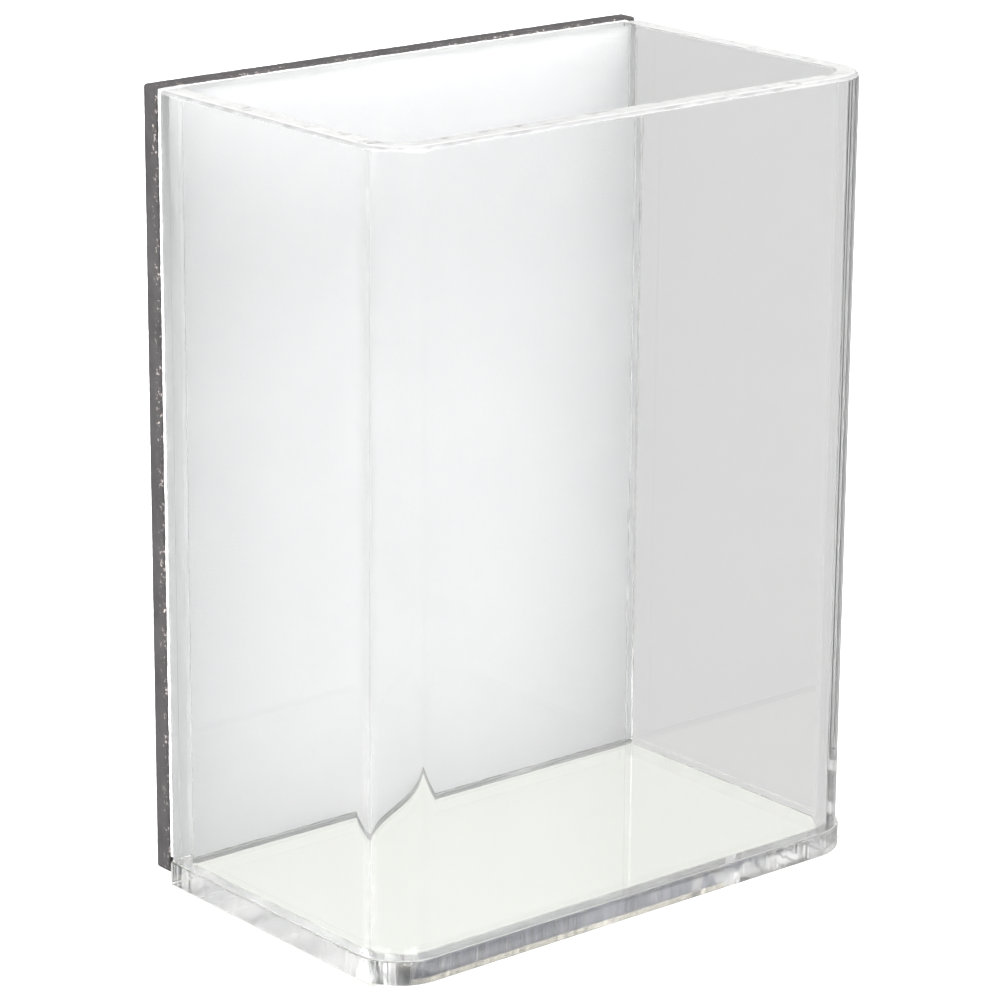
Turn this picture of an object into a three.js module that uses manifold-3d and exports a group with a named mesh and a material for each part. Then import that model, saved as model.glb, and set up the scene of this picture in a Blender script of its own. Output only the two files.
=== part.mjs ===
// Clear acrylic deck box with a magnetic back.
// A strip of acrylic is bent into a U for the left, front and right walls. It stands on a base
// plate, a back panel closes it between the ends of the side walls, and solvent cement holds the
// three together. White foam tape carries a flexible magnet sheet on the back. The top is open.
// Millimetres. +Z is up, -Y is the front, and the origin is under the middle of the whole box.

import * as THREE from "three";
import { mergeVertices } from "three/addons/utils/BufferGeometryUtils.js";
import Module from "manifold-3d";

// ---- driving dimensions ----
const boxHeight = 100; // underside of the base to the rim
const boxWidth = 75.5; // over the two side walls
const boxDepth = 43.75; // front face of the front wall to the rear ends of the side walls
const wallSheet = 3; // sheet that the U is bent from
const baseSheet = 3; // sheet of the base plate
const backSheet = 2.5; // sheet of the back panel
const bendRadius = 6.5; // outside radius of the two bends
const baseProud = 0.375; // how far the base stands out past the walls
const arris = 0.25; // broken edge along the cut edges of the walls and the base
const tapeThickness = 1; // white foam tape
const tapeInset = 0.25; // how far the tape stays inside the magnet's left and upper edges
const tapeShort = 1.625; // how far the tape stops short of the magnet's right edge
const tapeFoot = 0; // how far the tape stays above the top of the base plate
const tapeCorner = 0.25; // radius of the tape's four corners
const magnetThickness = 2.5; // flexible magnet sheet
const magnetCorner = 0.5; // radius of the magnet's four corners
const magnetLift = 1; // gap from the underside of the base to the magnet's lower edge
const magnetProud = 0.25; // how far the magnet stands above the rim
const magnetInset = 0.125; // how far the magnet's sides stay inside the side walls
const cementLeg = 0.5; // leg of the cement fillet in each inner corner
const cementLip = 0.1; // width that is left at the top of the floor fillet
const cementStop = 1; // how far below the rim the upright seams end
const bendSegments = 12; // facets in a quarter turn

// ---- places that follow from them ----
const totalDepth = baseProud + boxDepth + tapeThickness + magnetThickness;
const wallFront = -totalDepth / 2 + baseProud;
const wallBack = wallFront + boxDepth;
const cavityHalfWidth = boxWidth / 2 - wallSheet;
const cavityFront = wallFront + wallSheet;
const cavityBack = wallBack - backSheet;
const cavityRadius = bendRadius - wallSheet;

const clearAcrylic = { color: 0xeef4f2, roughness: 0.05, metalness: 0, transparent: true, opacity: 0.35 };
const whiteFoam = { color: 0xf2f2f0, roughness: 0.9, metalness: 0 };
const magnetRubber = { color: 0x646263, roughness: 0.8, metalness: 0 };
const curedCement = { color: 0xf1efe6, roughness: 0.2, metalness: 0, transparent: true, opacity: 0.6 };

function named(name, geometry, look) {
  const mesh = new THREE.Mesh(geometry, new THREE.MeshStandardMaterial(look));
  mesh.name = name;
  return mesh;
}

// A plan outline with square rear corners and rounded front corners, counter-clockwise.
function trayOutline(halfWidth, front, back, radius) {
  const outline = new THREE.Shape();
  outline.moveTo(-halfWidth, back);
  outline.lineTo(-halfWidth, front + radius);
  outline.absarc(-halfWidth + radius, front + radius, radius, Math.PI, 1.5 * Math.PI, false);
  outline.lineTo(halfWidth - radius, front);
  outline.absarc(halfWidth - radius, front + radius, radius, 1.5 * Math.PI, 2 * Math.PI, false);
  outline.lineTo(halfWidth, back);
  outline.closePath();
  return outline;
}

// A sheet cut to a plan outline, standing on z = 0, with its upper and lower arrises broken.
function cutSheet(outline, height) {
  const geometry = new THREE.ExtrudeGeometry(outline, {
    depth: height - 2 * arris,
    curveSegments: bendSegments,
    bevelEnabled: true,
    bevelThickness: arris,
    bevelSize: arris,
    bevelOffset: -arris,
    bevelSegments: 1,
  });
  return geometry.translate(0, 0, arris);
}

// Left, front and right walls in one bent strip.
function makeWallSleeve() {
  const outline = trayOutline(boxWidth / 2, wallFront, wallBack, bendRadius);
  const strip = new THREE.Shape();
  strip.curves.push(...outline.curves.slice(0, -1));
  strip.currentPoint.set(boxWidth / 2, wallBack);
  strip.lineTo(cavityHalfWidth, wallBack);
  strip.lineTo(cavityHalfWidth, cavityFront + cavityRadius);
  strip.absarc(
    cavityHalfWidth - cavityRadius, cavityFront + cavityRadius, cavityRadius, 0, -Math.PI / 2, true,
  );
  strip.lineTo(-cavityHalfWidth + cavityRadius, cavityFront);
  strip.absarc(
    -cavityHalfWidth + cavityRadius, cavityFront + cavityRadius, cavityRadius, -Math.PI / 2, -Math.PI, true,
  );
  strip.lineTo(-cavityHalfWidth, wallBack);
  strip.closePath();
  const sleeve = named("wall_sleeve", cutSheet(strip, boxHeight - baseSheet), clearAcrylic);
  sleeve.position.z = baseSheet;
  return sleeve;
}

function makeBasePlate() {
  const outline = trayOutline(
    boxWidth / 2 + baseProud, wallFront - baseProud, wallBack, bendRadius + baseProud,
  );
  return named("base_plate", cutSheet(outline, baseSheet), clearAcrylic);
}

// The back panel stands on the base between the two side walls, flush with their rear ends.
function makeBackPanel() {
  const outline = new THREE.Shape();
  outline.moveTo(-cavityHalfWidth, cavityBack);
  outline.lineTo(cavityHalfWidth, cavityBack);
  outline.lineTo(cavityHalfWidth, wallBack);
  outline.lineTo(-cavityHalfWidth, wallBack);
  outline.closePath();
  const geometry = new THREE.ExtrudeGeometry(outline, { depth: boxHeight - baseSheet, bevelEnabled: false });
  const panel = named("back_panel", geometry, clearAcrylic);
  panel.position.z = baseSheet;
  return panel;
}

// A sheet with four rounded corners in local x and y. Its thickness runs back from depth near.
function roundedSheet(left, right, low, high, radius, near, thickness) {
  const outline = new THREE.Shape();
  outline.moveTo(left + radius, low);
  outline.lineTo(right - radius, low);
  outline.absarc(right - radius, low + radius, radius, -Math.PI / 2, 0, false);
  outline.lineTo(right, high - radius);
  outline.absarc(right - radius, high - radius, radius, 0, Math.PI / 2, false);
  outline.lineTo(left + radius, high);
  outline.absarc(left + radius, high - radius, radius, Math.PI / 2, Math.PI, false);
  outline.lineTo(left, low + radius);
  outline.absarc(left + radius, low + radius, radius, Math.PI, 1.5 * Math.PI, false);
  outline.closePath();
  const geometry = new THREE.ExtrudeGeometry(outline, {
    depth: thickness,
    curveSegments: bendSegments,
    bevelEnabled: false,
  });
  return geometry.translate(0, 0, -near - thickness);
}

// Foam tape and magnet, stacked backwards from the rear of the box. The tape backs the panel, the
// end of the left wall and part of the end of the right wall. The group turns local z to -y.
function makeMagneticBack() {
  const back = new THREE.Group();
  back.position.y = wallBack;
  back.rotation.x = Math.PI / 2;
  const halfWidth = boxWidth / 2 - magnetInset;
  const top = boxHeight + magnetProud;
  const tape = roundedSheet(
    -halfWidth + tapeInset, halfWidth - tapeShort, baseSheet + tapeFoot, top - tapeInset,
    tapeCorner, 0, tapeThickness,
  );
  const magnet = roundedSheet(
    -halfWidth, halfWidth, magnetLift, top, magnetCorner, tapeThickness, magnetThickness,
  );
  back.add(named("foam_tape", tape, whiteFoam));
  back.add(named("magnet_sheet", magnet, magnetRubber));
  return back;
}

// Triangular fillet of cement up one inner corner. side is -1 on the left and 1 on the right.
function makeUprightSeam(name, side) {
  const corner = side * cavityHalfWidth;
  const outline = new THREE.Shape();
  outline.moveTo(corner, cavityBack);
  outline.lineTo(corner - side * cementLeg, cavityBack);
  outline.lineTo(corner, cavityBack - cementLeg);
  outline.closePath();
  const depth = boxHeight - baseSheet - cementLeg - cementStop;
  const geometry = new THREE.ExtrudeGeometry(outline, { depth, bevelEnabled: false });
  const seam = named(name, geometry, curedCement);
  seam.position.z = baseSheet + cementLeg;
  return seam;
}

const wasm = await Module();
wasm.setup();

function toSolid(geometry) {
  const plain = geometry.clone();
  plain.deleteAttribute("normal");
  plain.deleteAttribute("uv");
  const merged = mergeVertices(plain, 1e-4);
  const triVerts = new Uint32Array(merged.index.array);
  const vertProperties = merged.attributes.position.array;
  return new wasm.Manifold(new wasm.Mesh({ numProp: 3, vertProperties, triVerts }));
}

function toGeometry(solid) {
  const { vertProperties, triVerts } = solid.getMesh();
  const geometry = new THREE.BufferGeometry();
  geometry.setAttribute("position", new THREE.BufferAttribute(vertProperties, 3));
  geometry.setIndex(new THREE.BufferAttribute(triVerts, 1));
  geometry.computeVertexNormals();
  return geometry;
}

// Ring of cement around the floor. A slab that fills the foot of the cavity loses a core that
// starts one leg inside the walls and widens upwards to the lip.
function makeFloorSeam() {
  const slab = new THREE.ExtrudeGeometry(
    trayOutline(cavityHalfWidth, cavityFront, cavityBack, cavityRadius),
    { depth: cementLeg, curveSegments: bendSegments, bevelEnabled: false },
  );
  const coreOutline = trayOutline(
    cavityHalfWidth - cementLeg, cavityFront + cementLeg, cavityBack - cementLeg, cavityRadius - cementLeg,
  );
  const core = new THREE.ExtrudeGeometry(coreOutline, {
    depth: cementLeg,
    curveSegments: bendSegments,
    bevelEnabled: true,
    bevelThickness: cementLeg,
    bevelSize: cementLeg - cementLip,
    bevelSegments: 1,
  });
  core.translate(0, 0, cementLeg);
  const seam = named("cement_seam_floor", toGeometry(toSolid(slab).subtract(toSolid(core))), curedCement);
  seam.position.z = baseSheet;
  return seam;
}

const deckBox = new THREE.Group();
deckBox.add(makeWallSleeve());
deckBox.add(makeBasePlate());
deckBox.add(makeBackPanel());
deckBox.add(makeMagneticBack());
deckBox.add(makeUprightSeam("cement_seam_left", -1));
deckBox.add(makeUprightSeam("cement_seam_right", 1));
deckBox.add(makeFloorSeam());

export default deckBox;
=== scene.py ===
import bpy
import numpy as np
from mathutils import Matrix, Vector


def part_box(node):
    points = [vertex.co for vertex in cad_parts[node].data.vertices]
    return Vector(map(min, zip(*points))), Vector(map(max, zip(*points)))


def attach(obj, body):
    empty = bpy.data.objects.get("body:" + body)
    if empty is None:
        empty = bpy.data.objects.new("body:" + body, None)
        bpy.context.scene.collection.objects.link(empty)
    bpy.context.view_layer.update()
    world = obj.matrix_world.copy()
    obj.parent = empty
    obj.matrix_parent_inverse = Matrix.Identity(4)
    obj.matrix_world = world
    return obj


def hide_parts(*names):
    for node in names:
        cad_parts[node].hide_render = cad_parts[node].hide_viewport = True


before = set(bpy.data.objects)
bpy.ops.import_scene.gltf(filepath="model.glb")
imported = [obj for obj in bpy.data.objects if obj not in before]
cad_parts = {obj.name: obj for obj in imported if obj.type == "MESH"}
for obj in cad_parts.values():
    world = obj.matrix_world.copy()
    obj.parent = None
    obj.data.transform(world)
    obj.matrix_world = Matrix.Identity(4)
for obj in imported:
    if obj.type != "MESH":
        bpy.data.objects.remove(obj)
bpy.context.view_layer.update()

MM = 0.001
WELD = 0.01 * MM  # the depth to which one clear piece reaches into its neighbour where they are bonded


# ---- Base plate ----
# A plate of clear cast acrylic, sawn to a tray outline with rounded front corners. Its sawn edge
# keeps fine upright saw marks, and the long front and rear cuts are frosted, with painted shade for
# the dark magnet seen through them and a cream foot of painted light. The walls and the back
# panel are bonded to its upper face.

def tray_outline(low, high, front_radius, rear_radius, step):
    """Walks counter-clockwise round a rectangle with quarter-circle corners. Each corner is its
    centre plus radius times (cosine, sine) of an angle that turns by 90 degrees, and each straight
    side is filled with points one step apart. Returns the points and their outward directions."""
    corners = [
        (low[0] + front_radius, low[1] + front_radius, front_radius, np.pi),
        (high[0] - front_radius, low[1] + front_radius, front_radius, 1.5 * np.pi),
        (high[0] - rear_radius, high[1] - rear_radius, rear_radius, 0.0),
        (low[0] + rear_radius, high[1] - rear_radius, rear_radius, 0.5 * np.pi),
    ]
    arcs = []
    for x, y, radius, start in corners:
        turn = start + np.linspace(0, 0.5 * np.pi, 1 + max(6, int(0.5 * np.pi * radius / step)))
        facing = np.stack([np.cos(turn), np.sin(turn)], axis=1)
        arcs.append((np.array([x, y]) + radius * facing, facing))
    points, outward = [], []
    for (here, facing), (following, _) in zip(arcs, arcs[1:] + arcs[:1]):
        gap = following[0] - here[-1]
        share = np.linspace(0, 1, 2 + int(np.linalg.norm(gap) / step))[1:-1, None]
        points += [here, here[-1] + share * gap]
        outward += [facing, np.repeat(facing[-1:], len(share), axis=0)]
    return np.concatenate(points), np.concatenate(outward)


def grid_mesh(name, grid, directions=None, ring=False):
    """A closed skin from a grid of points, rows by columns: the columns close on themselves and
    each cell is one quad. The first and last rows are each closed by one flat face, or joined to
    each other in a ring. Where directions are given they are the exact surface normals at the
    points, so flat stretches stay optically flat; otherwise edges over 35 degrees stay crisp."""
    rows, columns, _ = grid.shape
    index = np.arange(rows * columns).reshape(rows, columns)
    lower, upper = (index, np.roll(index, -1, axis=0)) if ring else (index[:-1], index[1:])
    corners = [lower, np.roll(lower, -1, axis=1), np.roll(upper, -1, axis=1), upper]
    faces = np.stack(corners, axis=-1).reshape(-1, 4).tolist()
    if not ring:
        faces += [index[0, ::-1].tolist(), index[-1].tolist()]
    mesh = bpy.data.meshes.new(name)
    mesh.from_pydata(grid.reshape(-1, 3), [], faces)
    mesh.polygons.foreach_set("use_smooth", np.ones(len(faces), dtype=bool))
    if directions is None:
        mesh.set_sharp_from_angle(angle=np.radians(35))
    else:
        lengths = np.linalg.norm(directions, axis=-1, keepdims=True)
        mesh.normals_split_custom_set_from_vertices((directions / lengths).reshape(-1, 3))
    mesh.update()
    piece = bpy.data.objects.new(name, mesh)
    bpy.context.scene.collection.objects.link(piece)
    return piece


def ripple(distance, pitches, seed):
    """A wandering value between -1 and 1 along a distance: a mean of sine waves with the given
    pitches and shifted starts."""
    starts = np.random.default_rng(seed).uniform(0, 2 * np.pi, len(pitches))
    waves = [np.sin(2 * np.pi * distance / pitch + start) for pitch, start in zip(pitches, starts)]
    return np.mean(waves, axis=0)


def edge_rows(low, high, arris, steps):
    """The rows of a plate's edge from its lower face to its upper one: a quarter round, the
    straight edge, and a quarter round. Returns each row's inset, height and tilt of its normal."""
    turn = np.linspace(0, 0.5 * np.pi, steps)
    inset = arris * (1 - np.sin(turn))
    rise = arris * (1 - np.cos(turn))
    insets = np.concatenate([inset, inset[::-1]])
    heights = np.concatenate([low + rise, high - rise[::-1]])
    tilts = np.concatenate([turn - 0.5 * np.pi, 0.5 * np.pi - turn[::-1]])
    return insets, heights, tilts


def slab(name, outline, outward, relief, low, high, arris, steps=6):
    """A plate over an outline: the point at (row, column) is the outline's point, moved inwards by
    the row's inset plus the relief of the cut edge there, at the row's height. Its normal is the
    outline's own normal, turned up or down by the row's tilt."""
    insets, heights, tilts = edge_rows(low, high, arris, steps)
    cut = outline - relief[:, None] * outward
    chord = np.roll(cut, -1, axis=0) - np.roll(cut, 1, axis=0)
    facing = np.stack([chord[:, 1], -chord[:, 0]], axis=1)
    facing /= np.linalg.norm(facing, axis=1, keepdims=True)
    plan = cut[None] - insets[:, None, None] * outward[None]
    level = np.repeat(heights[:, None, None], len(outline), axis=1)
    flat = np.cos(tilts)[:, None, None] * facing[None]
    upward = np.repeat(np.sin(tilts)[:, None, None], len(outline), axis=1)
    return grid_mesh(name, np.concatenate([plan, level], 2), np.concatenate([flat, upward], 2))


def finish_with(piece, material, node):
    """Gives a piece its material and puts it in the place of its plain solid."""
    piece.data.materials.append(material)
    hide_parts(node)
    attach(piece, "root")


def material_tree(name):
    """An empty node material; returns it with a maker of nodes and a function that joins an output
    socket to an input socket."""
    material = bpy.data.materials.new(name)
    material.use_nodes = True
    tree = material.node_tree
    tree.nodes.clear()

    def add(kind, **values):
        node = tree.nodes.new(kind)
        for key, value in values.items():
            if hasattr(node, key):
                setattr(node, key, value)
            else:
                node.inputs[key.replace("_", " ")].default_value = value
        return node

    def join(source, target):
        tree.links.new(source, target)

    return material, add, join


base_low, base_high = (np.array(corner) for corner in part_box("base_plate"))
BASE_FRONT_RADIUS = 6.875 * MM
BASE_REAR_RADIUS = 0.3 * MM
BASE_ARRIS = 0.15 * MM
SAW_DEPTH = 0.03 * MM
OUTLINE_STEP = 0.25 * MM
SAW_PITCHES = np.array([0.9, 1.7, 3.1, 7.3]) * MM
# Painted shade and light on the sawn front and rear edges: the dense and thin lavender greys are
# painted shade for the dark magnet seen through the edge, the cream foot is painted light from the
# bright table below it, and the gain darkens the light that passes the film as painted shade.
SAWN_EDGE_SHADE_DENSE = (0.13, 0.135, 0.158, 1)
SAWN_EDGE_SHADE_THIN = (0.29, 0.292, 0.315, 1)
SAWN_EDGE_FOOT_LIGHT = (0.7, 0.68, 0.6, 1)
FOOT_LIGHT_HEIGHT = 0.7 * MM  # above the underside
FOOT_LIGHT_FADE = 0.25 * MM
EDGE_FILM_END = 12.0 * MM  # to the right of the middle
EDGE_FILM_FADE = 6.0 * MM
EDGE_SHADE_GAIN = 5.0
CAST_TINT = (0.996, 0.998, 0.992, 1)
ACRYLIC_INDEX = 1.49
ACRYLIC_ROUGHNESS = 0.002
ACRYLIC_WAVE = 0.05 * MM

outline, outward = tray_outline(
    base_low, base_high, BASE_FRONT_RADIUS, BASE_REAR_RADIUS, OUTLINE_STEP
)
round_trip = np.cumsum(np.linalg.norm(np.roll(outline, -1, axis=0) - outline, axis=1))
saw_marks = 0.5 * SAW_DEPTH * (1 + ripple(round_trip, SAW_PITCHES, seed=3))
base_plate = slab(
    "base_plate_clear", outline, outward, saw_marks, base_low[2], base_high[2], BASE_ARRIS
)


def clear_acrylic(name, tint, grain, edge_grain, edge_depth, film=None, film_colour_gain=1.0):
    """Clear acrylic: a refracting shader whose faces have a faint waviness, and whose upright cut
    edges have saw marks, a noise that is fine along the edge and long up it. A film is the part
    that is no longer clear: a function that adds its nodes and gives its colour and its cover; the
    films here carry painted shade in their colour. The last argument says how much more of the
    film's colour the light that still passes takes on, so it darkens that light as painted shade."""
    material, add, join = material_tree(name)
    place = add("ShaderNodeTexCoord")
    shape = add("ShaderNodeNewGeometry")
    wave = add("ShaderNodeTexNoise", Scale=grain, Detail=2.0, Roughness=0.4)
    join(place.outputs["Object"], wave.inputs["Vector"])
    wave_bump = add("ShaderNodeBump", Strength=0.15, Distance=ACRYLIC_WAVE)
    join(wave.outputs["Fac"], wave_bump.inputs["Height"])
    stretch = add("ShaderNodeMapping")
    stretch.inputs["Scale"].default_value = (edge_grain, edge_grain, edge_grain * 0.06)
    join(place.outputs["Object"], stretch.inputs["Vector"])
    marks = add("ShaderNodeTexNoise", Scale=1.0, Detail=3.0, Roughness=0.6)
    join(stretch.outputs["Vector"], marks.inputs["Vector"])
    mark_bump = add("ShaderNodeBump", Strength=edge_depth, Distance=0.05 * MM)
    join(marks.outputs["Fac"], mark_bump.inputs["Height"])
    join(wave_bump.outputs["Normal"], mark_bump.inputs["Normal"])
    haze = add("ShaderNodeMapRange", To_Min=ACRYLIC_ROUGHNESS, To_Max=ACRYLIC_ROUGHNESS * 3)
    join(wave.outputs["Fac"], haze.inputs["Value"])
    shader = add("ShaderNodeBsdfPrincipled", Base_Color=tint, IOR=ACRYLIC_INDEX)
    shader.inputs["Transmission Weight"].default_value = 1.0
    join(haze.outputs["Result"], shader.inputs["Roughness"])
    join(mark_bump.outputs["Normal"], shader.inputs["Normal"])
    if film:
        film_tone, cover = film(add, join, place, shape)
        film_colour_share = add("ShaderNodeMath", operation="MULTIPLY", use_clamp=True)
        film_colour_share.inputs[1].default_value = film_colour_gain
        join(cover, film_colour_share.inputs[0])
        blended = blend(add, join, film_colour_share.outputs["Value"], tint, film_tone)
        join(blended, shader.inputs["Base Color"])
        clear_part = add("ShaderNodeMath", operation="SUBTRACT")
        clear_part.inputs[0].default_value = 1.0
        join(cover, clear_part.inputs[1])
        join(clear_part.outputs["Value"], shader.inputs["Transmission Weight"])
    output = add("ShaderNodeOutputMaterial")
    join(shader.outputs["BSDF"], output.inputs["Surface"])
    return material


def blend(add, join, share, first, second):
    """The colour that runs from the first to the second as the share runs from 0 to 1. Each of the
    two is a plain colour or a socket."""
    mix = add("ShaderNodeMix", data_type="RGBA")
    join(share, mix.inputs["Factor"])
    for socket, colour in ((mix.inputs[6], first), (mix.inputs[7], second)):
        if isinstance(colour, tuple):
            socket.default_value = colour
        else:
            join(colour, socket)
    return mix.outputs[2]


def ramp_between(add, join, source, start, end, low=0.0, high=1.0):
    """A value that runs smoothly from low to high while the source runs from start to end."""
    ramp = add("ShaderNodeMapRange", interpolation_type="SMOOTHSTEP")
    for socket, value in zip(("From Min", "From Max", "To Min", "To Max"), (start, end, low, high)):
        ramp.inputs[socket].default_value = value
    join(source, ramp.inputs["Value"])
    return ramp.outputs["Result"]


def times(add, join, first, second):
    """The product of two values."""
    product = add("ShaderNodeMath", operation="MULTIPLY")
    join(first, product.inputs[0])
    join(second, product.inputs[1])
    return product.outputs["Value"]


def sawn_frost_and_painted_shade(add, join, place, shape):
    """The saw left the front and rear edges frosted: the frost covers what faces forwards or
    backwards, denser and thinner in fine upright streaks. Its lavender grey is painted shade for the
    dark magnet seen through the edge, above a cream strip at the foot that is painted light where
    the bright table shows below the magnet, and it fades out before the right end."""
    facing = add("ShaderNodeSeparateXYZ")
    join(shape.outputs["Normal"], facing.inputs["Vector"])
    along_depth = times(add, join, facing.outputs["Y"], facing.outputs["Y"])
    cover = ramp_between(add, join, along_depth, 0.7, 0.97)
    position = add("ShaderNodeSeparateXYZ")
    join(place.outputs["Object"], position.inputs["Vector"])
    foot_end = FOOT_LIGHT_HEIGHT + FOOT_LIGHT_FADE
    above_foot = ramp_between(add, join, position.outputs["Z"], FOOT_LIGHT_HEIGHT, foot_end)
    streak = add("ShaderNodeMapping")
    streak.inputs["Scale"].default_value = (1300.0, 1300.0, 110.0)
    join(place.outputs["Object"], streak.inputs["Vector"])
    noise = add("ShaderNodeTexNoise", Scale=1.0, Detail=4.0, Roughness=0.65)
    join(streak.outputs["Vector"], noise.inputs["Vector"])
    density = ramp_between(add, join, noise.outputs["Fac"], 0.32, 0.68, 0.13, 0.42)
    patches = add("ShaderNodeTexNoise", Scale=230.0, Detail=2.0)
    join(place.outputs["Object"], patches.inputs["Vector"])
    wander = ramp_between(add, join, patches.outputs["Fac"], 0.35, 0.65, -EDGE_FILM_FADE, EDGE_FILM_FADE)
    across = add("ShaderNodeMath", operation="ADD")
    join(position.outputs["X"], across.inputs[0])
    join(wander, across.inputs[1])
    fading = ramp_between(
        add, join, across.outputs["Value"], EDGE_FILM_END, EDGE_FILM_END + EDGE_FILM_FADE, 1.0, 0.12
    )
    cover = times(add, join, cover, fading)
    tone = add("ShaderNodeValToRGB")
    tone.color_ramp.elements[0].color = SAWN_EDGE_SHADE_DENSE
    tone.color_ramp.elements[1].color = SAWN_EDGE_SHADE_THIN
    join(noise.outputs["Fac"], tone.inputs["Fac"])
    colour = blend(add, join, above_foot, SAWN_EDGE_FOOT_LIGHT, tone.outputs["Color"])
    return colour, times(add, join, cover, density)


base_acrylic = clear_acrylic(
    "cast_sheet_sawn_edge", CAST_TINT,
    grain=60.0, edge_grain=1800.0, edge_depth=0.05, film=sawn_frost_and_painted_shade, film_colour_gain=EDGE_SHADE_GAIN,
)
finish_with(base_plate, base_acrylic, "base_plate")


# ---- Wall sleeve ----
# One strip of clear acrylic, bent hot round two upright bends into the left, front and right
# walls. Its upper rim is scraped to a soft, slightly milky edge, with painted shade on its rounded
# edges, and its foot is bonded to the base.

def bent_path(low, high, sheet, bend_radius, step):
    """The middle line of a bent strip in plan: forward along the left wall, a quarter circle, along
    the front, a quarter circle, and back along the right wall. Returns its points and the
    directions that point out of the box."""
    half = 0.5 * sheet
    mid_radius = bend_radius - half
    left, right, front, back = low[0] + half, high[0] - half, low[1] + half, high[1]
    turn = np.linspace(0, 0.5 * np.pi, 25)[:, None]
    straight_in = np.linspace(back, front + mid_radius, int((back - front) / step))[:-1, None]
    across = np.linspace(left + mid_radius, right - mid_radius, int((right - left) / step))[1:-1, None]
    left_wall = np.hstack([np.full_like(straight_in, left), straight_in])
    left_bend = np.hstack([
        left + mid_radius - mid_radius * np.cos(turn), front + mid_radius - mid_radius * np.sin(turn)
    ])
    front_wall = np.hstack([across, np.full_like(across, front)])
    right_bend = np.hstack([
        right - mid_radius + mid_radius * np.sin(turn), front + mid_radius - mid_radius * np.cos(turn)
    ])
    right_wall = np.hstack([np.full_like(straight_in, right), straight_in[::-1]])
    points = np.concatenate([left_wall, left_bend, front_wall, right_bend, right_wall])
    facing = np.concatenate([
        np.tile([-1.0, 0.0], (len(left_wall), 1)),
        np.hstack([-np.cos(turn), -np.sin(turn)]),
        np.tile([0.0, -1.0], (len(front_wall), 1)),
        np.hstack([np.sin(turn), -np.cos(turn)]),
        np.tile([1.0, 0.0], (len(right_wall), 1)),
    ])
    return points, facing


def rim_section(sheet, low, high, foot_radius, outer_radius, inner_radius):
    """The strip's cross-section, walked from its foot up the inner face, over the rim and down the
    outer face: four quarter circles joined by straights. Returns how far each point is out of the
    strip's middle line, its height, and the same two parts of its normal."""
    half = 0.5 * sheet
    corners = [
        (-half, low, foot_radius, 1.0, -1.0, 1.0),
        (-half, high, inner_radius, 1.0, 1.0, 0.5),
        (half, high, outer_radius, -1.0, 1.0, 0.0),
        (half, low, foot_radius, -1.0, -1.0, -0.5),
    ]
    parts = []
    for across, level, radius, inwards, side, start in corners:
        turn = np.pi * (start + np.linspace(1, 0, 10)[:, None] * 0.5)
        facing = np.hstack([np.cos(turn), np.sin(turn)])
        centre = np.array([across + inwards * radius, level - side * radius])
        parts.append(np.hstack([centre + radius * facing, facing]))
    return np.concatenate(parts)


wall_low, wall_high = (np.array(corner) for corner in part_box("wall_sleeve"))
WALL_SHEET = 3.0 * MM
BEND_RADIUS = 6.5 * MM
RIM_OUTER_RADIUS = 0.75 * MM
RIM_INNER_RADIUS = 0.35 * MM
FOOT_RADIUS = 0.03 * MM
END_ARRIS = 0.25 * MM
RIM_WANDER = 0.05 * MM
RIM_PITCHES = np.array([11.0, 23.0, 37.0]) * MM
MILKY_DEPTH = 1.0 * MM  # down from the rim
MILKY_FADE = 0.2 * MM
RIM_CHIP = (0.22, 0.22, 0.2, 1)
RIM_MILK = (0.6, 0.6, 0.59, 1)
# Painted shade: the dark grey put on the rounded edges of the rim.
RIM_ROUNDED_SHADE = (0.13, 0.13, 0.13, 1)
WALL_STEP = 1.0 * MM
CLEAR_TINT = (0.998, 0.999, 0.998, 1)

path, facing = bent_path(wall_low, wall_high, WALL_SHEET, BEND_RADIUS, WALL_STEP)
section = rim_section(
    WALL_SHEET, wall_low[2] - WELD, wall_high[2], FOOT_RADIUS, RIM_OUTER_RADIUS, RIM_INNER_RADIUS
)


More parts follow.
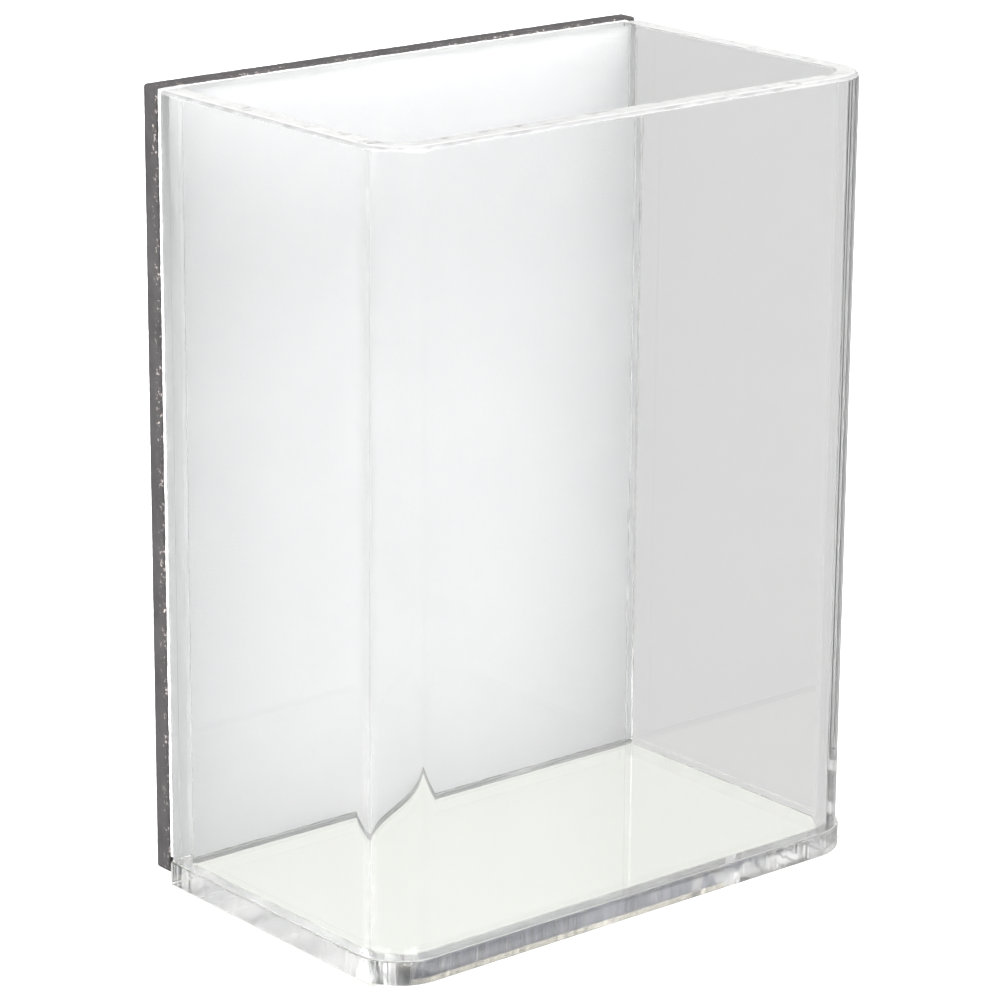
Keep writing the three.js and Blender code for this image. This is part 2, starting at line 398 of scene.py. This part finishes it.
def bent_strip(name, path, facing, section, end_arris, wander, high):
    """Carries the cross-section along the path: a point is the path's point plus the section's
    outward part times the facing direction, at the section's height. At both ends the section
    shrinks round a quarter circle of the end arris. The rim sinks by a wandering amount."""
    turn = np.linspace(0.5 * np.pi, 0, 6)
    tangent = np.stack([-facing[:, 1], facing[:, 0]], axis=1)
    start, end = -tangent[0], tangent[-1]
    count = len(turn)
    centres = np.concatenate([
        path[0] + end_arris * (np.sin(turn)[:, None] - 1) * start,
        path[1:-1],
        path[-1] + end_arris * (np.sin(turn[::-1])[:, None] - 1) * end,
    ])
    shrink = np.concatenate([
        end_arris * (1 - np.cos(turn)), np.zeros(len(path) - 2), end_arris * (1 - np.cos(turn[::-1]))
    ])
    lean = np.concatenate([np.sin(turn), np.zeros(len(path) - 2), np.sin(turn[::-1])])
    outwards = np.concatenate([
        np.repeat(facing[:1], count, 0), facing[1:-1], np.repeat(facing[-1:], count, 0)
    ])
    ends = np.concatenate([
        np.repeat(start[None], count, 0), np.zeros((len(path) - 2, 2)), np.repeat(end[None], count, 0)
    ])
    travelled = np.concatenate([[0], np.cumsum(np.linalg.norm(np.diff(centres, axis=0), axis=1))])
    sink = wander * 0.5 * (1 + ripple(travelled, RIM_PITCHES, seed=5))
    spread = section[None, :, 0] - shrink[:, None] * section[None, :, 2]
    level = section[None, :, 1] - shrink[:, None] * section[None, :, 3]
    level = level - sink[:, None] * (section[None, :, 1] > high - 2 * MM)
    plan = centres[:, None, :] + spread[:, :, None] * outwards[:, None, :]
    side = np.sqrt(1 - lean**2)
    flat = (side[:, None] * section[None, :, 2])[:, :, None] * outwards[:, None, :]
    flat = flat + lean[:, None, None] * ends[:, None, :]
    upward = side[:, None] * section[None, :, 3]
    grid = np.concatenate([plan, level[:, :, None]], 2)
    return grid_mesh(name, grid, np.concatenate([flat, upward[:, :, None]], 2))


wall_sleeve = bent_strip(
    "wall_sleeve_clear", path, facing, section, END_ARRIS, RIM_WANDER, wall_high[2]
)


def scraped_rim_and_painted_shade(add, join, place, shape):
    """Milky rim: the cut upper face is only scraped, so it scatters light in uneven patches, with
    a few dark chips; the grey on its rounded edges is painted shade."""
    facing = add("ShaderNodeSeparateXYZ")
    join(shape.outputs["Normal"], facing.inputs["Vector"])
    height = add("ShaderNodeSeparateXYZ")
    join(place.outputs["Object"], height.inputs["Vector"])
    upright = times(add, join, facing.outputs["Z"], facing.outputs["Z"])
    upward = ramp_between(add, join, upright, 0.08, 0.3)
    milky_from = wall_high[2] - MILKY_DEPTH
    at_rim = ramp_between(add, join, height.outputs["Z"], milky_from, milky_from + MILKY_FADE)
    patches = add("ShaderNodeTexNoise", Scale=320.0, Detail=3.0, Roughness=0.6)
    join(place.outputs["Object"], patches.inputs["Vector"])
    uneven = ramp_between(add, join, patches.outputs["Fac"], 0.3, 0.7, 0.6, 0.85)
    cover = times(add, join, times(add, join, upward, at_rim), uneven)
    tone = add("ShaderNodeValToRGB")
    tone.color_ramp.elements[0].position = 0.34
    tone.color_ramp.elements[0].color = RIM_CHIP
    tone.color_ramp.elements[1].position = 0.42
    tone.color_ramp.elements[1].color = RIM_MILK
    join(patches.outputs["Fac"], tone.inputs["Fac"])
    level_top = ramp_between(add, join, upright, 0.7, 0.98)
    return blend(add, join, level_top, RIM_ROUNDED_SHADE, tone.outputs["Color"]), cover


wall_acrylic = clear_acrylic(
    "bent_acrylic_scraped_rim", CLEAR_TINT,
    grain=35.0, edge_grain=900.0, edge_depth=0.02, film=scraped_rim_and_painted_shade,
)
finish_with(wall_sleeve, wall_acrylic, "wall_sleeve")


# ---- Back panel ----
# A thinner panel of the same acrylic, sawn square. It stands on the base between the side walls,
# flush with their rear ends, and is bonded to all three.

def upright_slab(name, low, high, corner_radius, relief_depth, pitches, seed, arris, step):
    """A plate in the plane of the back: its outline is walked in width and height and moved
    inwards by the row's inset plus the relief of the cut edge, and its rows run forward from its
    rear face. Its normal is the outline's own normal, turned to the front or the rear by the tilt."""
    outline, outward = tray_outline(
        (low[0], low[2]), (high[0], high[2]), corner_radius, corner_radius, step
    )
    trip = np.cumsum(np.linalg.norm(np.roll(outline, -1, axis=0) - outline, axis=1))
    relief = 0.5 * relief_depth * (1 + ripple(trip, pitches, seed))
    thickness = high[1] - low[1]
    insets, heights, tilts = edge_rows(0.0, thickness, arris, 6)
    cut = outline - relief[:, None] * outward
    chord = np.roll(cut, -1, axis=0) - np.roll(cut, 1, axis=0)
    facing = np.stack([chord[:, 1], -chord[:, 0]], axis=1)
    facing /= np.linalg.norm(facing, axis=1, keepdims=True)
    plan = cut[None] - insets[:, None, None] * outward[None]
    depth = np.repeat(high[1] - heights[:, None, None], len(outline), axis=1)
    flat = np.cos(tilts)[:, None, None] * facing[None]
    forward = np.repeat(-np.sin(tilts)[:, None, None], len(outline), axis=1)
    grid = np.concatenate([plan[..., :1], depth, plan[..., 1:]], 2)
    normals = np.concatenate([flat[..., :1], forward, flat[..., 1:]], 2)
    return grid_mesh(name, grid, normals)


panel_low, panel_high = (np.array(corner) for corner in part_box("back_panel"))
back_panel = upright_slab(
    "back_panel_clear",
    panel_low - np.array([WELD, 0, WELD]), panel_high + np.array([WELD, 0, 0]),
    corner_radius=0.05 * MM, relief_depth=0.006 * MM, pitches=np.array([0.8, 1.9, 4.3]) * MM,
    seed=11, arris=0.03 * MM, step=0.3 * MM,
)
back_acrylic = clear_acrylic(
    "sawn_acrylic_panel", CLEAR_TINT, grain=40.0, edge_grain=1500.0, edge_depth=0.1
)
finish_with(back_panel, back_acrylic, "back_panel")


# ---- Cement seams ----
# Solvent cement is run along the inner corners and dries as a thin clear fillet with tiny bubbles:
# one bead up each rear corner, and one all round the floor.

def fillet_section(leg, lip):
    """A bead's cross-section in a square corner: out along one leg, up a thin lip, back along a
    quarter circle that is hollow towards the room, and down the other leg. It reaches a little
    into both neighbours. Returns distances from the two faces of the corner."""
    turn = np.linspace(0, 0.5 * np.pi, 9)
    hollow = leg - (leg - lip) * np.stack([np.sin(turn), np.cos(turn)], axis=1)
    return np.concatenate([[(-WELD, -WELD), (leg, -WELD)], hollow, [(-WELD, leg)]])


CEMENT_LEG = 0.22 * MM
CEMENT_LIP = 0.03 * MM
BEAD_TAPER = 0.5 * MM
BEAD_ROWS = 260
FLOOR_REAR_RADIUS = 0.12 * MM
FLOOR_STEP = 0.4 * MM
SEAM_PITCHES = np.array([1.3, 3.7, 9.1, 21.0]) * MM


def upright_bead(name, corner, side, low, high, seed):
    """The fillet section carried up a corner, while its legs swell and thin by a wandering factor
    and shrink to a quarter over the taper at the top."""
    heights = np.linspace(low, high, BEAD_ROWS)
    swell = 0.85 + 0.15 * ripple(heights, SEAM_PITCHES, seed)
    swell = swell * np.clip((high - heights) / BEAD_TAPER, 0.25, 1)
    section = fillet_section(CEMENT_LEG, CEMENT_LIP)
    spread = np.where(section > 0, section * swell[:, None, None], section)
    across = corner[0] - side * spread[..., 0]
    depth = corner[1] - spread[..., 1]
    level = np.repeat(heights[:, None], len(section), axis=1)
    grid = np.stack([across, depth, level], axis=-1)
    return grid_mesh(name, grid if side > 0 else grid[:, ::-1])


def cured_cement(name):
    """Cured solvent cement: as clear as the acrylic, slightly milky in patches, with bubbles."""
    material, add, join = material_tree(name)
    place = add("ShaderNodeTexCoord")
    cloud = add("ShaderNodeTexNoise", Scale=700.0, Detail=4.0, Roughness=0.6)
    join(place.outputs["Object"], cloud.inputs["Vector"])
    milk = add("ShaderNodeValToRGB")
    milk.color_ramp.elements[0].position = 0.45
    milk.color_ramp.elements[0].color = (0.99, 0.992, 0.985, 1)
    milk.color_ramp.elements[1].position = 0.75
    milk.color_ramp.elements[1].color = (0.93, 0.93, 0.9, 1)
    join(cloud.outputs["Fac"], milk.inputs["Fac"])
    haze = add("ShaderNodeMapRange")
    haze.inputs["From Min"].default_value = 0.5
    haze.inputs["From Max"].default_value = 0.8
    haze.inputs["To Max"].default_value = 0.35
    join(cloud.outputs["Fac"], haze.inputs["Value"])
    bubbles = add("ShaderNodeTexVoronoi", Scale=3500.0)
    join(place.outputs["Object"], bubbles.inputs["Vector"])
    bump = add("ShaderNodeBump", Strength=0.1, Distance=0.03 * MM)
    join(bubbles.outputs["Distance"], bump.inputs["Height"])
    shader = add("ShaderNodeBsdfPrincipled", IOR=1.47)
    shader.inputs["Transmission Weight"].default_value = 1.0
    join(milk.outputs["Color"], shader.inputs["Base Color"])
    join(haze.outputs["Result"], shader.inputs["Roughness"])
    join(bump.outputs["Normal"], shader.inputs["Normal"])
    output = add("ShaderNodeOutputMaterial")
    join(shader.outputs["BSDF"], output.inputs["Surface"])
    return material


cement = cured_cement("solvent_cement")
for node, side, seed in (("cement_seam_left", -1, 31), ("cement_seam_right", 1, 37)):
    seam_low, seam_high = (np.array(corner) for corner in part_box(node))
    corner = (side * panel_high[0], panel_low[1])
    bead = upright_bead(node + "_bead", corner, side, seam_low[2], seam_high[2], seed)
    finish_with(bead, cement, node)

floor_low, floor_high = (np.array(corner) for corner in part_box("cement_seam_floor"))
outline, outward = tray_outline(
    floor_low, floor_high, BEND_RADIUS - WALL_SHEET, FLOOR_REAR_RADIUS, FLOOR_STEP
)
trip = np.cumsum(np.linalg.norm(np.roll(outline, -1, axis=0) - outline, axis=1))
swell = 0.72 + 0.28 * ripple(trip, SEAM_PITCHES, 41)
section = fillet_section(CEMENT_LEG, CEMENT_LIP)
spread = np.where(section > 0, section * swell[:, None, None], section)
plan = outline[:, None, :] - spread[..., :1] * outward[:, None, :]
floor_grid = np.concatenate([plan, floor_low[2] + spread[..., 1:]], axis=2)
floor_bead = grid_mesh("cement_seam_floor_bead", floor_grid, ring=True)
finish_with(floor_bead, cement, "cement_seam_floor")


# ---- Foam tape ----
# A sheet of white closed-cell foam with adhesive on both faces. It grips the rear of the acrylic
# and carries the magnet; its cut edge is slightly ragged, with open cells.

tape_low, tape_high = (np.array(corner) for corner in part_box("foam_tape"))
foam_tape = upright_slab(
    "foam_tape_white",
    tape_low - np.array([0, WELD, 0]), tape_high,
    corner_radius=0.25 * MM, relief_depth=0.12 * MM,
    pitches=np.array([0.9, 2.3, 5.1, 13.0]) * MM, seed=17, arris=0.1 * MM, step=0.25 * MM,
)
# Painted shade: the foam is greyed towards its open top to hold back the stronger light that reaches
# it there.
FOAM_SHADE_STARTS = 36.0 * MM  # below the top, where the greying starts
FOAM_SHADE_FULL = 10.0 * MM  # below the top, where it is complete
FOAM_SHADE_LEVEL = 0.83
FOAM_DULL = (0.92, 0.925, 0.93, 1)
FOAM_WHITE = (0.96, 0.965, 0.965, 1)


def foam(name):
    """White foam: near-white with faint blotches, greyer towards the open top as painted shade against
    the stronger light that reaches it there, and a bump of small open cells."""
    material, add, join = material_tree(name)
    place = add("ShaderNodeTexCoord")
    cells = add("ShaderNodeTexVoronoi", Scale=5500.0)
    join(place.outputs["Object"], cells.inputs["Vector"])
    blotch = add("ShaderNodeTexNoise", Scale=120.0, Detail=3.0)
    join(place.outputs["Object"], blotch.inputs["Vector"])
    tone = add("ShaderNodeValToRGB")
    tone.color_ramp.elements[0].color = FOAM_DULL
    tone.color_ramp.elements[1].color = FOAM_WHITE
    join(blotch.outputs["Fac"], tone.inputs["Fac"])
    position = add("ShaderNodeSeparateXYZ")
    join(place.outputs["Object"], position.inputs["Vector"])
    unshaded_below = tape_high[2] - FOAM_SHADE_STARTS
    shaded_above = tape_high[2] - FOAM_SHADE_FULL
    fade = ramp_between(add, join, position.outputs["Z"], unshaded_below, shaded_above, 1.0, FOAM_SHADE_LEVEL)
    painted_top_shade = add("ShaderNodeVectorMath", operation="SCALE")
    join(tone.outputs["Color"], painted_top_shade.inputs["Vector"])
    join(fade, painted_top_shade.inputs["Scale"])
    bump = add("ShaderNodeBump", Strength=0.4, Distance=0.05 * MM)
    join(cells.outputs["Distance"], bump.inputs["Height"])
    shader = add("ShaderNodeBsdfPrincipled", Roughness=0.8)
    join(painted_top_shade.outputs["Vector"], shader.inputs["Base Color"])
    join(bump.outputs["Normal"], shader.inputs["Normal"])
    output = add("ShaderNodeOutputMaterial")
    join(shader.outputs["BSDF"], output.inputs["Surface"])
    return material


finish_with(foam_tape, foam("white_closed_cell_foam"), "foam_tape")


# ---- Magnet sheet ----
# Flexible magnet: ferrite powder in a dark rubber binder, rolled into a sheet and die-cut with
# nearly square corners. It is stuck to the foam tape and is the face that holds to steel.

magnet_low, magnet_high = (np.array(corner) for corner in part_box("magnet_sheet"))
magnet_sheet = upright_slab(
    "magnet_sheet_rubber", magnet_low, magnet_high,
    corner_radius=0.5 * MM, relief_depth=0.06 * MM,
    pitches=np.array([1.1, 2.9, 7.0, 19.0]) * MM, seed=23, arris=0.2 * MM, step=0.3 * MM,
)
POWDERED_FROM = 0.25 * MM  # behind the tape, where the crumbs start to thin out
POWDERED_TO = 1.3 * MM  # behind the tape, where they end
RUBBER_DARK = (0.031, 0.028, 0.029, 1)
RUBBER_LIGHT = (0.06, 0.055, 0.057, 1)
CRUMB_COLOUR = (0.48, 0.42, 0.39, 1)


def magnet_rubber(name):
    """Dark rubber: a mottled tone, a granular bump, and crumbs of foam and dust at the tape."""
    material, add, join = material_tree(name)
    place = add("ShaderNodeTexCoord")
    mottle = add("ShaderNodeTexNoise", Scale=250.0, Detail=6.0, Roughness=0.65)
    join(place.outputs["Object"], mottle.inputs["Vector"])
    tone = add("ShaderNodeValToRGB")
    tone.color_ramp.elements[0].position = 0.3
    tone.color_ramp.elements[0].color = RUBBER_DARK
    tone.color_ramp.elements[1].position = 0.7
    tone.color_ramp.elements[1].color = RUBBER_LIGHT
    join(mottle.outputs["Fac"], tone.inputs["Fac"])
    spot = add("ShaderNodeSeparateXYZ")
    join(place.outputs["Object"], spot.inputs["Vector"])
    thinning = magnet_low[1] + POWDERED_FROM
    clean = magnet_low[1] + POWDERED_TO
    near_tape = ramp_between(add, join, spot.outputs["Y"], thinning, clean, 1.0, 0.0)
    crumbs = add("ShaderNodeTexNoise", Scale=1900.0, Detail=4.0, Roughness=0.7)
    join(place.outputs["Object"], crumbs.inputs["Vector"])
    flecks = times(add, join, near_tape, ramp_between(add, join, crumbs.outputs["Fac"], 0.58, 0.66))
    powdered = blend(add, join, flecks, tone.outputs["Color"], CRUMB_COLOUR)
    specks = add("ShaderNodeTexNoise", Scale=2600.0, Detail=2.0, Roughness=0.7)
    join(place.outputs["Object"], specks.inputs["Vector"])
    bump = add("ShaderNodeBump", Strength=0.5, Distance=0.04 * MM)
    join(specks.outputs["Fac"], bump.inputs["Height"])
    shader = add("ShaderNodeBsdfPrincipled", Roughness=0.7)
    join(powdered, shader.inputs["Base Color"])
    join(bump.outputs["Normal"], shader.inputs["Normal"])
    output = add("ShaderNodeOutputMaterial")
    join(shader.outputs["BSDF"], output.inputs["Surface"])
    return material


finish_with(magnet_sheet, magnet_rubber("ferrite_rubber"), "magnet_sheet")


# ---- Studio ----
# A wide pale table that glows a little, a small lit card under the box, and a light tent: soft
# white all round, greyer to the rear right, with soft boxes in front and at the upper left.

def stage_sheet(name, half_width, half_depth, level, material):
    """A flat sheet facing up at the given level, centred under the box."""
    across, along = np.array([-1, 1, 1, -1]) * half_width, np.array([-1, -1, 1, 1]) * half_depth
    corners = np.stack([across, along, np.full(4, level)], axis=1)
    mesh = bpy.data.meshes.new(name)
    mesh.from_pydata(corners, [], [(0, 1, 2, 3)])
    sheet = bpy.data.objects.new(name, mesh)
    bpy.context.scene.collection.objects.link(sheet)
    sheet.data.materials.append(material)
    return sheet


TABLE_HALF = 6.0
TABLE_DROP = 0.12 * MM
TABLE_COLOUR = (0.9, 0.9, 0.9, 1)
TABLE_GLOW = 0.5
CARD_DROP = 0.06 * MM
CARD_COLOUR = (0.985, 1.0, 0.935, 1)
CARD_GLOW = 0.91

table_paint, add, join = material_tree("pale_table")
table_shader = add("ShaderNodeBsdfDiffuse", Color=TABLE_COLOUR)
table_light = add("ShaderNodeEmission", Strength=TABLE_GLOW)
table_sum = add("ShaderNodeAddShader")
join(table_shader.outputs["BSDF"], table_sum.inputs[0])
join(table_light.outputs["Emission"], table_sum.inputs[1])
table_output = add("ShaderNodeOutputMaterial")
join(table_sum.outputs["Shader"], table_output.inputs["Surface"])
table = stage_sheet("table", TABLE_HALF, TABLE_HALF, -TABLE_DROP, table_paint)
table.visible_transmission = False
table.visible_glossy = False
lit_card, add, join = material_tree("lit_card")
card_shader = add("ShaderNodeEmission", Color=CARD_COLOUR, Strength=CARD_GLOW)
card_output = add("ShaderNodeOutputMaterial")
join(card_shader.outputs["Emission"], card_output.inputs["Surface"])
card = stage_sheet("card", base_high[0], base_high[1], -CARD_DROP, lit_card)

world = bpy.data.worlds.new("light_tent")
bpy.context.scene.world = world
world.use_nodes = True
world.cycles.sampling_method = "NONE"
nodes, links = world.node_tree.nodes, world.node_tree.links
nodes.clear()
direction = nodes.new("ShaderNodeTexCoord")


def glow(towards, start, end, amount, base):
    """Adds an amount of light to a base value around one direction: the cosine of the angle to that
    direction, mapped smoothly from start to end."""
    compare = nodes.new("ShaderNodeVectorMath")
    compare.operation = "DOT_PRODUCT"
    compare.inputs[1].default_value = Vector(towards).normalized()
    links.new(direction.outputs["Generated"], compare.inputs[0])
    spread = nodes.new("ShaderNodeMapRange")
    spread.interpolation_type = "SMOOTHSTEP"
    spread.inputs["From Min"].default_value = start
    spread.inputs["From Max"].default_value = end
    spread.inputs["To Max"].default_value = amount
    links.new(compare.outputs["Value"], spread.inputs["Value"])
    total = nodes.new("ShaderNodeMath")
    total.operation = "ADD"
    links.new(spread.outputs["Result"], total.inputs[0])
    if isinstance(base, float):
        total.inputs[1].default_value = base
    else:
        links.new(base, total.inputs[1])
    return total.outputs["Value"]


OVERHEAD = ((0, 0, 1), 0.35, 0.85, 0.2)
FRONT_BOX = ((0, -1, 0.28), 0.88, 0.96, 10.5)
LEFT_BOX = ((-1, 0.1, 0.5), 0.87, 0.96, 5.0)
REAR_RIGHT_SHADE = ((0.85, 0.5, -0.15), 0.2, 0.75, -0.35)
level = 1.0
for towards, start, end, amount in (OVERHEAD, FRONT_BOX, LEFT_BOX, REAR_RIGHT_SHADE):
    level = glow(towards, start, end, amount, level)
tent = nodes.new("ShaderNodeBackground")
tent.inputs["Color"].default_value = (1, 1, 1, 1)
links.new(level, tent.inputs["Strength"])
backdrop = nodes.new("ShaderNodeBackground")
backdrop.inputs["Strength"].default_value = 1.0
backdrop.inputs["Color"].default_value = (1, 1, 1, 1)
seen = nodes.new("ShaderNodeLightPath")
choose = nodes.new("ShaderNodeMixShader")
world_output = nodes.new("ShaderNodeOutputWorld")
links.new(seen.outputs["Is Camera Ray"], choose.inputs["Fac"])
links.new(tent.outputs["Background"], choose.inputs[1])
links.new(backdrop.outputs["Background"], choose.inputs[2])
links.new(choose.outputs["Shader"], world_output.inputs["Surface"])
bpy.context.scene.view_settings.view_transform = "Standard"
bpy.context.scene.cycles.max_bounces = 32
bpy.context.scene.cycles.transmission_bounces = 32
bpy.context.scene.cycles.glossy_bounces = 16
bpy.context.scene.cycles.diffuse_bounces = 8

# ---- Camera ----
# A long lens, a little above the box and round to its left front corner.

CAMERA_LENS = 150.0
CAMERA_DISTANCE = 0.510
CAMERA_AIM = Vector((0, -1.5625 * MM, 50 * MM))
CAMERA_RIGHT = -2.7 * MM
CAMERA_UP = -2.1 * MM
azimuth, elevation, roll = np.radians([-39.85, 16.95, 0.42])
backwards = Vector((
    np.sin(azimuth) * np.cos(elevation), -np.cos(azimuth) * np.cos(elevation), np.sin(elevation)
))
sideways = Vector((np.cos(azimuth), np.sin(azimuth), 0))
upwards = backwards.cross(sideways)
position = CAMERA_AIM + CAMERA_DISTANCE * backwards
position += CAMERA_RIGHT * sideways + CAMERA_UP * upwards
rolled_right = np.cos(roll) * sideways + np.sin(roll) * upwards
rolled_up = np.cos(roll) * upwards - np.sin(roll) * sideways
camera_data = bpy.data.cameras.new("camera")
camera_data.lens = CAMERA_LENS
camera_data.sensor_width = 36.0
camera_data.clip_start = 0.01
camera = bpy.data.objects.new("camera", camera_data)
bpy.context.scene.collection.objects.link(camera)
turned = Matrix((rolled_right, rolled_up, backwards)).transposed()
camera.matrix_world = Matrix.Translation(position) @ turned.to_4x4()
bpy.context.scene.camera = camera
